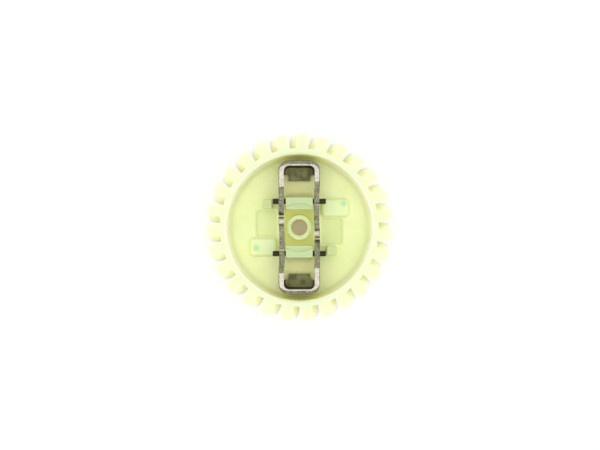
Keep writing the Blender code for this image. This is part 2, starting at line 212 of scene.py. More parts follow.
def round_edges(piece, chosen, width, segments=3):
    """Bevel each edge whose two ends, in millimetres, pass a test."""
    make_active(piece)
    bpy.ops.object.mode_set(mode="EDIT")
    bpy.ops.mesh.select_mode(type="EDGE")
    bpy.ops.mesh.select_all(action="DESELECT")
    mesh = bmesh.from_edit_mesh(piece.data)
    for edge in mesh.edges:
        edge.select_set(chosen(*(vertex.co / MM for vertex in edge.verts)))
    count = sum(edge.select for edge in mesh.edges)
    bmesh.update_edit_mesh(piece.data)
    bpy.ops.mesh.bevel(offset=width * MM, segments=segments, affect="EDGES", clamp_overlap=True)
    bpy.ops.object.mode_set(mode="OBJECT")
    return count


def half_turn_copy(piece, name):
    """A copy of a piece, turned by half a turn about the gear's axis."""
    make_active(piece)
    bpy.ops.object.duplicate()
    copy = bpy.context.object
    copy.name = name
    copy.rotation_euler.z = math.pi
    bpy.ops.object.transform_apply(location=False, rotation=True, scale=False)
    return copy


print("ends closer than", SAME_PLACE, "mm count as level with each other")

# %% [markdown]
# ## Teeth
# The gear meshes with a steel crankshaft gear, so it has an involute tooth on a helix, and as a plastic gear
# it has thick teeth. One tooth could be modelled and copied, but all of them belong to one moulding. So the
# outline of the whole gear is worked out once from the tooth formula, and its ring is extruded downwards in
# steps, each turned a little further. The first and last steps are drawn in, which rounds the tooth ends.

# %% Work out the tooth outline
TOOTH_COUNT = 27
NORMAL_MODULE = 2.38
DEDENDUM = 1.25
PRESSURE_ANGLE = math.radians(14.5)
HELIX_ANGLE = math.radians(12)
FACE_WIDTH = 12.5
TOOTH_SHARE = 0.57
TIP_ROUND = 0.35
ROOT_ROUND = 1.0
FIRST_TOOTH_ANGLE = math.radians(87.9)
FLANK_START = 1.25
FLANK_STEPS = 5
OUTLINE_STEPS = 5

pitch_radius = TOOTH_COUNT * NORMAL_MODULE / math.cos(HELIX_ANGLE) / 2
tip_radius = pitch_radius + NORMAL_MODULE
root_radius = pitch_radius - DEDENDUM * NORMAL_MODULE
pressure_at_pitch = math.atan(math.tan(PRESSURE_ANGLE) / math.cos(HELIX_ANGLE))
base_radius = pitch_radius * math.cos(pressure_at_pitch)


def half_tooth_angle(radius):
    """Half the angle that a tooth takes up at a radius, from the involute of its base circle."""
    pressure = math.acos(min(1, base_radius / radius))
    rolled = math.tan(pressure_at_pitch) - pressure_at_pitch - math.tan(pressure) + pressure
    return math.pi * TOOTH_SHARE / TOOTH_COUNT + rolled


def gear_outline(inset):
    """The outline of all the teeth, drawn in by an inset."""
    low, high = root_radius - inset, tip_radius - inset
    flank_low = low + FLANK_START * ROOT_ROUND
    flank_high = high - TIP_ROUND
    radii = [flank_low + (flank_high - flank_low) * step / FLANK_STEPS for step in range(FLANK_STEPS + 1)]
    side = [(low, ROOT_ROUND)] + [(radius, 0) for radius in radii[:-1]] + [(high, TIP_ROUND)]
    side = [(radius, half_tooth_angle(radius) - inset / radius, size) for radius, size in side]
    corners = []
    for tooth in range(TOOTH_COUNT):
        middle = FIRST_TOOTH_ANGLE + 2 * math.pi * tooth / TOOTH_COUNT
        points = [(radius, middle - angle, size) for radius, angle, size in side]
        points += [(radius, middle + angle, size) for radius, angle, size in reversed(side)]
        points += [(low, middle + math.pi / TOOTH_COUNT, 0)]
        corners += [(radius * math.cos(a), radius * math.sin(a), size) for radius, a, size in points]
    return rounded(corners, OUTLINE_STEPS)


print("tip diameter", round(2 * tip_radius, 2), "mm, outline of", len(gear_outline(0)), "points")

# %% Sweep the outline down the helix
TOOTH_END_ROUND = 0.35
TOOTH_END_STEPS = 3
HELIX_STEPS = 10
BAND_INSIDE_RADIUS = 29.0

twist = math.tan(HELIX_ANGLE) / pitch_radius
quarter_turn = [math.radians(90 * step / TOOTH_END_STEPS) for step in range(TOOTH_END_STEPS + 1)]
end_rounds = [
    (TOOTH_END_ROUND * (1 - math.sin(a)), TOOTH_END_ROUND * (1 - math.cos(a))) for a in quarter_turn
]
straight = FACE_WIDTH - 2 * TOOTH_END_ROUND
drops = [TOOTH_END_ROUND + straight * step / HELIX_STEPS for step in range(1, HELIX_STEPS)]
band_levels = [(inset, FACE_WIDTH - depth) for inset, depth in end_rounds]
band_levels += [(0, FACE_WIDTH - drop) for drop in drops]
band_levels += [(inset, depth) for inset, depth in reversed(end_rounds)]


def band_ring(inset, height):
    """The gear's outline at a height, turned to where the helix has it."""
    turn = Matrix.Rotation((FACE_WIDTH - height) * twist, 2)
    return [(*(turn @ point), height) for point in gear_outline(inset)]


def inner_ring(outer):
    """A circle with one point for each point of an outline, at the same angle."""
    return [(*(Vector(p[:2]).normalized() * BAND_INSIDE_RADIUS), p[2]) for p in outer]


band_rings = [band_ring(inset, height) for inset, height in band_levels]
band_rings = [inner_ring(band_rings[0])] + band_rings + [inner_ring(band_rings[-1])]
teeth = stack("teeth", band_rings, caps=False)
print("toothed band:", len(teeth.data.polygons), "faces in", len(band_rings) - 1, "steps")

# %% [markdown]
# ## Cup
# Inside the teeth the moulding is a shallow cup: a lip with a soft edge, a wall with draft so that the mould
# lets go of it, and a floor with a rounded corner. The hidden back has a shallow relief between the rim and
# the boss round the bore. All of it is round, so one profile on a lathe makes the whole cup.

# %% Turn the cup
RIM_WALL = 2.4
CUP_TAPER = 1.0
FLOOR_HEIGHT = 3.5
FLOOR_ROUND = 1.5
MOUTH_ROUND = 0.8
BACK_RELIEF = 0.8
BACK_BOSS_RADIUS = 8.0
BACK_RIM_WIDTH = 3.2
BACK_EDGE_ROUND = 0.3
BACK_CORNER_ROUND = 0.2
CUP_OUTSIDE_RADIUS = 28.6
CUP_FACETS = 216

mouth_radius = root_radius - RIM_WALL
lip_middle = (mouth_radius + MOUTH_ROUND, FACE_WIDTH - MOUTH_ROUND)
relief_outside = root_radius - BACK_RIM_WIDTH
cup_corners = [(CUP_OUTSIDE_RADIUS, FACE_WIDTH, 0)]
cup_corners += [(*point, 0) for point in arc(lip_middle, MOUTH_ROUND, 90, 180)]
cup_corners += [
    (mouth_radius - CUP_TAPER, FLOOR_HEIGHT, FLOOR_ROUND),
    (0, FLOOR_HEIGHT, 0),
    (0, 0, 0),
    (BACK_BOSS_RADIUS, 0, BACK_EDGE_ROUND),
    (BACK_BOSS_RADIUS + BACK_RELIEF / 2, BACK_RELIEF, BACK_CORNER_ROUND),
    (relief_outside, BACK_RELIEF, BACK_CORNER_ROUND),
    (relief_outside + BACK_RELIEF / 2, 0, BACK_EDGE_ROUND),
    (CUP_OUTSIDE_RADIUS, 0, 0),
]
gear = lathe("gear_moulding", rounded(cup_corners), CUP_FACETS)
print("cup:", len(gear.data.polygons), "faces, mouth", round(2 * mouth_radius, 1), "mm across")

# %% [markdown]
# ## Blocks on the floor of the cup
# The hub tube, the pedestal, the stop posts and the low pads all rise from the floor with a small fillet at
# the foot and a soft edge at the top. They differ only in their outline and height, so one function stacks
# rings for them: wide at the foot, plain up the side and drawn in at the top. Two shallow panels with softly
# sloping sides are sunk into the floor first, because the pads and stop posts stand partly over their edges.

# %% Raise a block with a filleted foot and a soft top
ROUND_FACETS = 96
BLOCK_STEPS = 4
SUNK = 1.0
OVERRUN = 1.0


def disc(radius, x=0, y=0, facets=ROUND_FACETS):
    """A round outline, as a function of how far it is drawn in."""
    return lambda inset: [p + Vector((x, y)) for p in arc((0, 0), radius - inset, 0, 360, facets)[:-1]]


def box(x_low, x_high, y_low, y_high, corner):
    """A rectangular outline with round corners, as a function of how far it is drawn in."""
    middles = [
        (x_high - corner, y_high - corner, 0),
        (x_low + corner, y_high - corner, 90),
        (x_low + corner, y_low + corner, 180),
        (x_high - corner, y_low + corner, 270),
    ]
    return lambda inset: [p for x, y, a in middles for p in arc((x, y), corner - inset, a, a + 90)]


def block(name, outline, low, high, foot, top, sunk=SUNK):
    """A block on an outline, from a level where it stands on the moulding up to its top."""
    quarter = [math.radians(90 * step / BLOCK_STEPS) for step in range(BLOCK_STEPS + 1)]
    levels = [(-foot, low - sunk)]
    levels += [(-foot * (1 - math.sin(a)), low + foot * (1 - math.cos(a))) for a in quarter]
    levels += [(top * (1 - math.cos(a)), high - top * (1 - math.sin(a))) for a in quarter]
    return stack(name, [[(p.x, p.y, z) for p in outline(inset)] for inset, z in levels])


print("blocks are sunk", SUNK, "mm into what they stand on")

# %% Cut the sunk panels
PANEL_X = (-16.5, -8.6)
PANEL_Y = (-3.8, 6.6)
PANEL_DEPTH = 0.7
PANEL_SLOPE = 1.4
PANEL_STEPS = 8
PANEL_LIFT = 0.005
SOFT_CORNER = 1.5

panel_outline = box(*PANEL_X, *PANEL_Y, SOFT_CORNER)
panel_levels = [(-PANEL_SLOPE / 2, FLOOR_HEIGHT + OVERRUN)]
for step in range(PANEL_STEPS + 1):
    fall = PANEL_DEPTH * (1 - math.cos(math.pi * step / PANEL_STEPS)) / 2
    panel_levels.append((PANEL_SLOPE * (step / PANEL_STEPS - 0.5), FLOOR_HEIGHT + PANEL_LIFT - fall))
panel_rings = [[(p.x, p.y, z) for p in panel_outline(inset)] for inset, z in reversed(panel_levels)]
panel = stack("panel", panel_rings)
for item in (panel, half_turn_copy(panel, "panel_opposite")):
    combine(gear, item, "DIFFERENCE")
print("panels cut:", len(gear.data.polygons), "faces")

# %% Add the hub, the pedestal, the stop posts and the pads
BORE_RADIUS = 3.0
HUB_WALL = 1.8
HUB_TOP = 9.0
TOWER_HALF = 5.05
PIVOT_Y = 9.9
PIVOT_HEIGHT = FACE_WIDTH - 2.2
PEDESTAL_RISE = 1.5
PEDESTAL_REACH = 8.3
PIN_HALF = 10.05
PIN_CLEARANCE = 0.3
STOP_LENGTH = 3.8
STOP_Y = (7.0, 10.5)
STOP_TOP = PIVOT_HEIGHT + 1.7
PAD_X = (8.6, 18.9)
PAD_Y = (4.2, 10.9)
PAD_TOP = FLOOR_HEIGHT + 1.7
BLOCK_CORNER = 0.6
PEDESTAL_CORNER = 0.05
HUB_ROUNDS = (0.4, 0.35)
STOP_ROUNDS = (0.6, 0.58)
PAD_ROUNDS = (0.75, 0.94)
PLAIN = (0, 0.02)

stop_start = PIN_HALF + PIN_CLEARANCE
hub_outline = disc(BORE_RADIUS + HUB_WALL)
pedestal_outline = box(-TOWER_HALF, TOWER_HALF, -PEDESTAL_REACH, PEDESTAL_REACH, PEDESTAL_CORNER)
stop_outline = box(-stop_start - STOP_LENGTH, -stop_start, *STOP_Y, BLOCK_CORNER)
pad_outline = box(*PAD_X, *PAD_Y, SOFT_CORNER)

pedestal_top = FLOOR_HEIGHT + PEDESTAL_RISE
stop = block("stop", stop_outline, FLOOR_HEIGHT, STOP_TOP, *STOP_ROUNDS)
pad = block("pad", pad_outline, FLOOR_HEIGHT, PAD_TOP, *PAD_ROUNDS)
blocks = [
    block("pedestal", pedestal_outline, FLOOR_HEIGHT, pedestal_top, *PLAIN),
    block("hub", hub_outline, pedestal_top, HUB_TOP, *HUB_ROUNDS),
    stop,
    half_turn_copy(stop, "stop_opposite"),
    pad,
    half_turn_copy(pad, "pad_opposite"),
]
for item in blocks:
    combine(gear, item, "UNION")
print("gear with its blocks:", len(gear.data.polygons), "faces")

# %% [markdown]
# ## Bearing posts
# Each pin runs in a tall post. Seen from the side, a post has an upright inner face, a flat top and an outer
# face that slopes out to a wide foot. That side view is the outline, and it is made solid across the tower.
# The cross hole for the pin and the round step that the spool rests in are cut while the post is still by
# itself, because a cut is surest on a simple solid.

# %% Make a bearing post
POST_TOP = PIVOT_HEIGHT + 2.7
POST_INSIDE = 3.0
POST_OUTSIDE = 1.4
POST_TAPER = 2.1
POST_FOOT_ROUND = 1.8
POST_TOP_ROUND = 0.3
POST_SIDE_ROUND = 0.2
ABOVE_FLOOR = 0.1

inner_face = PIVOT_Y - POST_INSIDE
outer_face = PIVOT_Y + POST_OUTSIDE
post_foot = outer_face + POST_TAPER
post_corners = [
    (inner_face, FLOOR_HEIGHT - SUNK, 0),
    (inner_face, POST_TOP, POST_TOP_ROUND),
    (outer_face, POST_TOP, POST_TOP_ROUND),
    (post_foot - POST_FOOT_ROUND / 2, FLOOR_HEIGHT, POST_FOOT_ROUND),
    (post_foot + POST_FOOT_ROUND, FLOOR_HEIGHT, 0),
    (post_foot + POST_FOOT_ROUND, FLOOR_HEIGHT - SUNK, 0),
]
post = prism("post", rounded(post_corners), -TOWER_HALF, TOWER_HALF)


def on_post_side(a, b):
    """True for an edge along one side of the post, above the floor."""
    on_one_side = abs(a.x - b.x) < SAME_PLACE
    return on_one_side and min(a.z, b.z) > FLOOR_HEIGHT + ABOVE_FLOOR


print("post edges rounded:", round_edges(post, on_post_side, POST_SIDE_ROUND, segments=2))

# %% Cut its pin hole and its step, and add both posts
PIN_RADIUS = 1.0
SPOOL_SEAT_RADIUS = 9.4
SPOOL_SEAT_DEPTH = 0.7
SEAT_DRAFT = 0.3
SEAT_FACETS = 180
HOLE_FACETS = 48

seat_low, seat_high = POST_TOP - SPOOL_SEAT_DEPTH, POST_TOP + OVERRUN
seat_foot = SPOOL_SEAT_RADIUS - SEAT_DRAFT
seat_profile = [(0, seat_low), (seat_foot, seat_low), (SPOOL_SEAT_RADIUS, POST_TOP)]
seat_profile += [(SPOOL_SEAT_RADIUS, seat_high), (0, seat_high)]
hole_outline = arc((PIVOT_Y, PIVOT_HEIGHT), PIN_RADIUS + PIN_CLEARANCE, 0, 360, HOLE_FACETS)[:-1]
pin_hole = prism("pin_hole", hole_outline, -TOWER_HALF - OVERRUN, TOWER_HALF + OVERRUN)
for item in (pin_hole, lathe("spool_seat", seat_profile, SEAT_FACETS)):
    combine(post, item, "DIFFERENCE")
for item in (post, half_turn_copy(post, "post_opposite")):
    combine(gear, item, "UNION")
print("gear with its posts:", len(gear.data.polygons), "faces")

# %% [markdown]
# ## Cuts
# The moulding is finished by what the mould leaves out: the bore with its chamfers and the small round
# marks where ejectors push the part out of the mould.

# %% Cut the bore
BORE_CHAMFER = 0.35

wide = BORE_RADIUS + BORE_CHAMFER
bore_profile = [
    (0, -OVERRUN),
    (wide, -OVERRUN),
    (wide, 0),
    (BORE_RADIUS, BORE_CHAMFER),
    (BORE_RADIUS, HUB_TOP - BORE_CHAMFER),
    (wide, HUB_TOP),
    (wide, HUB_TOP + OVERRUN),
    (0, HUB_TOP + OVERRUN),
]
combine(gear, lathe("bore", bore_profile, ROUND_FACETS), "DIFFERENCE")
print("bore cut:", len(gear.data.polygons), "faces")

# %% Cut the ejector marks
MARK_CENTRES = [(17.0, 9.3), (-16.5, -7.9)]
MARK_RADIUS = 0.9
MARK_DEPTH = 0.15
MARK_FACETS = 32

for centre in MARK_CENTRES:
    mark_outline = disc(MARK_RADIUS, *centre, MARK_FACETS)
    mark = block("mark", mark_outline, PAD_TOP - MARK_DEPTH, PAD_TOP + OVERRUN, *PLAIN, sunk=0)
    combine(gear, mark, "DIFFERENCE")
print("marks cut:", len(gear.data.polygons), "faces")

# %% [markdown]
# ## One moulding
# The cup was turned with a plain outer wall, which is only there so that it was a closed solid for the cuts.
# That wall goes, the toothed band is joined in its place, and the two flat rings between them are bridged.

# %% Open the cup's outer wall and bridge it to the teeth
def bridge_level(piece, height):
    """Bridge the two open loops that lie at one height."""
    make_active(piece)
    bpy.ops.object.mode_set(mode="EDIT")
    bpy.ops.mesh.select_mode(type="EDGE")
    bpy.ops.mesh.select_all(action="DESELECT")
    mesh = bmesh.from_edit_mesh(piece.data)
    for edge in mesh.edges:
        level = all(abs(vertex.co.z / MM - height) < SAME_PLACE for vertex in edge.verts)
        edge.select_set(edge.is_boundary and level)
    bmesh.update_edit_mesh(piece.data)
    bpy.ops.mesh.bridge_edge_loops()
    bpy.ops.object.mode_set(mode="OBJECT")


make_active(gear)
bpy.ops.object.mode_set(mode="EDIT")
bpy.ops.mesh.select_mode(type="FACE")
bpy.ops.mesh.select_all(action="DESELECT")
mesh = bmesh.from_edit_mesh(gear.data)
for face in mesh.faces:
    on_outside = (abs(v.co.xy.length / MM - CUP_OUTSIDE_RADIUS) < SAME_PLACE for v in face.verts)
    face.select_set(all(on_outside))
bmesh.update_edit_mesh(gear.data)
bpy.ops.mesh.delete(type="FACE")
bpy.ops.object.mode_set(mode="OBJECT")

teeth.select_set(True)
bpy.ops.object.join()
bridge_level(gear, FACE_WIDTH)
bridge_level(gear, 0)
tidy_faces(gear)


def open_edges(piece):
    """How many edges of a piece don't have exactly two faces."""
    mesh = bmesh.new()
    mesh.from_mesh(piece.data)
    count = sum(not edge.is_manifold for edge in mesh.edges)
    mesh.free()
    return count


print("gear moulding:", len(gear.data.polygons), "faces,", open_edges(gear), "open edges")

# %% Shade the moulding smooth, with its flat faces kept flat
SHARP_ANGLE = math.radians(38)


def shade(piece):
    """Smooth shading that stops at sharp edges and leaves large faces flat."""
    make_active(piece)
    bpy.ops.object.shade_smooth_by_angle(angle=SHARP_ANGLE)
    weighted = piece.modifiers.new("weighted", "WEIGHTED_NORMAL")
    weighted.keep_sharp = True
    bpy.ops.object.modifier_apply(modifier=weighted.name)


shade(gear)
print("edges stay sharp past", round(math.degrees(SHARP_ANGLE)), "degrees")

# %% [markdown]
# ## Flyweights
# Each flyweight is folded from 2 mm sheet: a plate with a wall bent up round its closed end, which runs on
# as two arms to the pivot and past it. It could be a plain sheet that is thickened, but the bend, the tip of
# the wall and the arms have different edges. So an outer and an inner form are stacked from the same plan
# view and one is cut from the other, and then a side view of the arms and a plan of the plate are used as
# the shears were: they keep what lies inside them.

# %% Stack the folded sheet
SHEET = 2.0
ARM_CLEARANCE = 0.5
ARM_SET = 0.25
ARM_INSIDE = TOWER_HALF + ARM_CLEARANCE + ARM_SET
ARM_OUTSIDE = ARM_INSIDE + SHEET
END_GAP = 2.2
WEIGHT_LENGTH = mouth_radius - END_GAP - PIVOT_Y
WEIGHT_BOTTOM = FLOOR_HEIGHT + 0.3
WEIGHT_TOP = PIVOT_HEIGHT + 3.5
WEIGHT_CORNER = 4.0
CORNER_STEPS = 12
BEND_INSIDE = 1.0
END_EDGE_ROUND = 1.55
ARM_EDGE_ROUND = 0.3
LUG_RADIUS = 2.6
TOE_RADIUS = 1.75
TOE_REACH = 14.07


def weight_plan(side_inset, end_inset, beyond):
    """The flyweight from above, closed at its outer end; the long arm on +X is set in past its pivot."""
    half = ARM_OUTSIDE - side_inset
    set_in = half - ARM_SET
    toe = LUG_RADIUS + 2 * TOE_RADIUS - TOE_REACH
    outline = [(-half, -beyond), (half, -beyond), (half, toe - 2 * TOE_RADIUS)]
    outline += [(set_in, toe), (set_in, LUG_RADIUS), (half, LUG_RADIUS + 2 * TOE_RADIUS)]
    across = WEIGHT_CORNER - side_inset
    along = WEIGHT_CORNER - end_inset
    quarter = arc((0, 0), 1, 0, 90, CORNER_STEPS)
    corner = [(half - across + across * p.x, WEIGHT_LENGTH - WEIGHT_CORNER + along * p.y) for p in quarter]
    return [(x, y + PIVOT_Y) for x, y in outline + corner + [(-x, y) for x, y in reversed(corner)]]


def sheet_form(name, levels, beyond):
    """A form through the plan of the sheet, drawn in differently at each level."""
    return stack(name, [[(*p, z) for p in weight_plan(side, end, beyond)] for side, end, z in levels])


beyond = TOE_REACH + TOE_RADIUS
outer, edge, inner = [], [], []
for point in arc((0, 0), 1, 0, 90):
    drawn_in = (BEND_INSIDE + SHEET) * (1 - point.y)
    outer.append((drawn_in, drawn_in, WEIGHT_BOTTOM + (BEND_INSIDE + SHEET) * (1 - point.x)))
    edge_height = WEIGHT_TOP - END_EDGE_ROUND * (1 - point.y)
    edge.append((ARM_EDGE_ROUND * (1 - point.x), END_EDGE_ROUND * (1 - point.x), edge_height))
    drawn_in = SHEET + BEND_INSIDE * (1 - point.y)
    inner.append((drawn_in, drawn_in, WEIGHT_BOTTOM + SHEET + BEND_INSIDE * (1 - point.x)))
inner.append((SHEET, SHEET, WEIGHT_TOP + OVERRUN))
flyweight = sheet_form("flyweight_sheet_upper", outer + edge, beyond)
combine(flyweight, sheet_form("inside", inner, beyond + OVERRUN), "DIFFERENCE")
print("folded sheet:", len(flyweight.data.polygons), "faces,", open_edges(flyweight), "open edges")

# %% Shear it to the plan of the plate and the side view of the arms
PLATE_DEPTH = 5.2
TAB_DEPTH = 2.3
TAB_WIDTH = 8.3
NOTCH_ROUND = 0.7
ARM_DEPTH_AT_PLATE = 3.3
ARM_LEVEL = 1.0
LONG_SHOULDER = 7.3
SHORT_SHOULDER = 5.4
SHORT_REACH = 5.4
SHORT_END_RADIUS = 2.1
TOE_RISE = 1.7
TOE_ARC = (-100, -357)
TOE_STEPS = 32
SHORT_END_ARC = (-95, -260)
SHORT_END_STEPS = 20
FINGER_RISE = 2.2

plate_edge = WEIGHT_LENGTH - PLATE_DEPTH
tab = TAB_WIDTH / 2
sides = ARM_OUTSIDE + OVERRUN
plate_corners = [
    (-sides, WEIGHT_LENGTH + OVERRUN, 0),
    (-sides, plate_edge, 0),
    (-tab, plate_edge, NOTCH_ROUND),
    (-tab, plate_edge - TAB_DEPTH, NOTCH_ROUND / 2),
    (tab, plate_edge - TAB_DEPTH, NOTCH_ROUND / 2),
    (tab, plate_edge, NOTCH_ROUND),
    (sides, plate_edge, 0),
    (sides, WEIGHT_LENGTH + OVERRUN, 0),
]
plate_outline = [(p.x, p.y + PIVOT_Y) for p in rounded(plate_corners)]
plate_levels = (WEIGHT_BOTTOM - OVERRUN, WEIGHT_TOP + OVERRUN)
sheared = stack("sheared", [[(*p, z) for p in plate_outline] for z in plate_levels])


def arm_side_view(shoulder, finger):
    """An arm from the side: the level edge, the lug, the finger and the slope up to the shoulder."""
    inside_plate = plate_edge + OVERRUN
    top = WEIGHT_TOP - PIVOT_HEIGHT
    slope = (top - finger[-1][1]) / (shoulder - finger[-1][0])
    corners = [
        (inside_plate, -ARM_DEPTH_AT_PLATE, 0),
        (plate_edge - ARM_LEVEL, -ARM_DEPTH_AT_PLATE, LUG_RADIUS),
        (LUG_RADIUS / 4, -LUG_RADIUS, LUG_RADIUS),
        *finger,
        (inside_plate, top + slope * (inside_plate - shoulder), 0),
    ]
    return [p + Vector((PIVOT_Y, PIVOT_HEIGHT)) for p in rounded(corners)]


toe_out = math.sqrt((TOE_REACH - TOE_RADIUS) ** 2 - TOE_RISE**2)
long_finger = [(*point, 0) for point in arc((-toe_out, TOE_RISE), TOE_RADIUS, *TOE_ARC, TOE_STEPS)]
long_finger += [(-LUG_RADIUS / 2, FINGER_RISE, LUG_RADIUS)]
short_middle = (SHORT_END_RADIUS - SHORT_REACH, 0)
short_arc = arc(short_middle, SHORT_END_RADIUS, *SHORT_END_ARC, SHORT_END_STEPS)
short_finger = [(*point, 0) for point in short_arc]
long_arm = prism("long_arm", arm_side_view(LONG_SHOULDER, long_finger), TOWER_HALF, sides + OVERRUN)
short_arm = prism("short_arm", arm_side_view(SHORT_SHOULDER, short_finger), -sides - OVERRUN, -TOWER_HALF)
for item in (long_arm, short_arm):
    combine(sheared, item, "UNION")
combine(flyweight, sheared, "INTERSECT")
print("sheared sheet:", len(flyweight.data.polygons), "faces,", open_edges(flyweight), "open edges")

# %% Pierce the pivot holes and take the sharpness off the sheared edges
EDGE_BREAK = 0.14
SHEARED_ANGLE = math.radians(50)

pivot_hole = prism("pivot_hole", hole_outline, -sides, sides)
combine(flyweight, pivot_hole, "DIFFERENCE")
make_active(flyweight)
edge_break = flyweight.modifiers.new("edge_break", "BEVEL")
edge_break.width = EDGE_BREAK * MM
edge_break.segments = 2
edge_break.limit_method = "ANGLE"
edge_break.angle_limit = SHEARED_ANGLE
bpy.ops.object.modifier_apply(modifier=edge_break.name)
tidy_faces(flyweight)
shade(flyweight)
flyweight_opposite = half_turn_copy(flyweight, "flyweight_sheet_lower")
print("flyweight:", len(flyweight.data.polygons), "faces,", open_edges(flyweight), "open edges")

# %% [markdown]
# ## Pivot pins
# A pin is cut from round bar and its ends are chamfered so that it starts easily in its hole. It lies along
# X through a post and both arms.

# %% Make the pins
PIN_CHAMFER = 0.2
PIN_FACETS = 64


def is_pin_end(a, b):
    """True for an edge that goes round one end of the pin."""
    return abs(a.x - b.x) < SAME_PLACE


bpy.ops.object.select_all(action="DESELECT")
bpy.ops.mesh.primitive_cylinder_add(
    vertices=PIN_FACETS,
    radius=PIN_RADIUS * MM,
    depth=2 * PIN_HALF * MM,
    location=Vector((0, PIVOT_Y, PIVOT_HEIGHT)) * MM,
    rotation=(0, math.pi / 2, 0),
)
pin = bpy.context.object
pin.name = "pivot_bar_upper"
bpy.ops.object.transform_apply(location=True, rotation=True, scale=False)
print("pin end edges chamfered:", round_edges(pin, is_pin_end, PIN_CHAMFER, segments=2))
shade(pin)
pin_opposite = half_turn_copy(pin, "pivot_bar_lower")

# %% [markdown]
# ## Colours and nodes
# Colours are written as the hex values that a paint program shows, and one function turns them to the linear
# values that Blender calculates with. One more function adds a node with its settings and links and gives
# back one of its outputs, so that a finish reads as a chain of steps. A pattern's scale comes from the size
# of its grains in millimetres.

# %% Helpers for materials
SMOOTH = {"interpolation_type": "SMOOTHSTEP"}
# Nearly all of a noise lies between these two values.
NOISE_SPREAD = {"From Min": 0.3, "From Max": 0.7}


def colour(hex_value):
    """A linear colour from an sRGB hex value."""
    parts = [int(hex_value[i : i + 2], 16) / 255 for i in (1, 3, 5)]
    return (*(p / 12.92 if p <= 0.04045 else ((p + 0.055) / 1.055) ** 2.4 for p in parts), 1)


def scale_for(size):
    """The scale of a noise whose grains are a size in millimetres across."""
    return 1 / (size * MM)


def add(tree, kind, inputs=None, output=0, **settings):
    """Add a node and give back one output; an input is a plain value or another node's output."""
    made = tree.nodes.new(kind)
    for name, value in settings.items():
        setattr(made, name, value)
    for key, value in (inputs or {}).items():
        if isinstance(value, bpy.types.NodeSocket):
            tree.links.new(value, made.inputs[key])
        else:
            made.inputs[key].default_value = value
    return made.outputs[output]


def new_material(name):
    """An empty node material: its tree, its shader and the place on the object."""
    material = bpy.data.materials.new(name)
    material.use_nodes = True
    tree = material.node_tree
    place = add(tree, "ShaderNodeTexCoord", output="Object")
    return material, tree, tree.nodes["Principled BSDF"], place


def coat(material, *items):
    """Give pieces one material in place of any that they have."""
    for item in items:
        item.data.materials.clear()
        item.data.materials.append(material)


print("white is", colour("#ffffff")[:3])

# %% [markdown]
# ## Moulded nylon
# The gear is unfilled nylon, moulded in a pale yellow green. Light goes into it and comes out again nearby,
# so thin parts over white paper glow and the tops of tall thin posts look cool and green. Subsurface scattering
# gives the glow, and reaches furthest in the rim. The thickness changes with place and height, so the colours
# are laid down by bands, each 0 before one limit and 1 past another. Some bands are painted light and shade. A
# paler colour is painted light on the flanks of the teeth, the wall of the cup and its foot, the outer slopes
# of the posts and the corner behind the flyweight ends. A deeper yellow is painted shade at the roots of the
# teeth, on the wall of the bore, in the sunk panels and at the foot between the posts, where the nylon is also
# thick.
# The melt left faint clouds. The mould's own texture is too fine to show, so it is drawn coarser than it is.

# %% Mark bands across the moulding
nylon, tree, shader, place = new_material("moulded_nylon")
x, y, z = (add(tree, "ShaderNodeSeparateXYZ", {"Vector": place}, axis) for axis in "XYZ")
side_x, side_y = (add(tree, "ShaderNodeMath", {0: value}, operation="ABSOLUTE") for value in (x, y))
flat_place = add(tree, "ShaderNodeCombineXYZ", {"X": side_x, "Y": side_y})
radius = add(tree, "ShaderNodeVectorMath", {0: flat_place}, "Value", operation="LENGTH")

# Each band is measured along one of these, in millimetres, from where it starts to where it is full.
wall_foot = mouth_radius - CUP_TAPER
bands = {
    "corner": (radius, wall_foot - FLOOR_ROUND, wall_foot),
    "wall": (radius, wall_foot, mouth_radius),
    "rim": (radius, mouth_radius - 0.1, mouth_radius + MOUTH_ROUND),
    "below_tips": (radius, tip_radius - 0.8, root_radius + 0.6),
    "bore": (radius, BORE_RADIUS + 0.4, BORE_RADIUS + 0.1),
    "middle": (radius, 20.0, 18.5),
    "near_ends": (side_x, ARM_OUTSIDE + 8.0, ARM_OUTSIDE - 2.0),
    "tower_width": (side_x, TOWER_HALF + 0.6, TOWER_HALF),
    "before_slope": (side_y, outer_face + 0.5, outer_face),
    "past_post": (side_y, outer_face, outer_face + 0.5),
    "between_posts": (side_y, outer_face, PIVOT_Y),
    "below_floor": (z, FLOOR_HEIGHT - 0.1, FLOOR_HEIGHT - 0.6),
    "above_floor": (z, FLOOR_HEIGHT + 0.2, PAD_TOP),
    "above_pads": (z, PAD_TOP + 0.3, PAD_TOP + 2.0),
    "above_hub": (z, HUB_TOP + 0.3, HUB_TOP + 2.0),
    "below_posts": (z, POST_TOP - 3.5, PAD_TOP + 1.0),
}
masks = {}
for name, (value, start, full) in bands.items():
    limits = {"From Min": start * MM, "From Max": full * MM}
    masks[name] = add(tree, "ShaderNodeMapRange", {"Value": value, **limits}, **SMOOTH)
print(len(masks), "bands marked")

# %% Find the flanks of the teeth and the ejector marks
UPRIGHT = (0.9, 0.3)
MARK_BLUR = (2.1, 0.4)

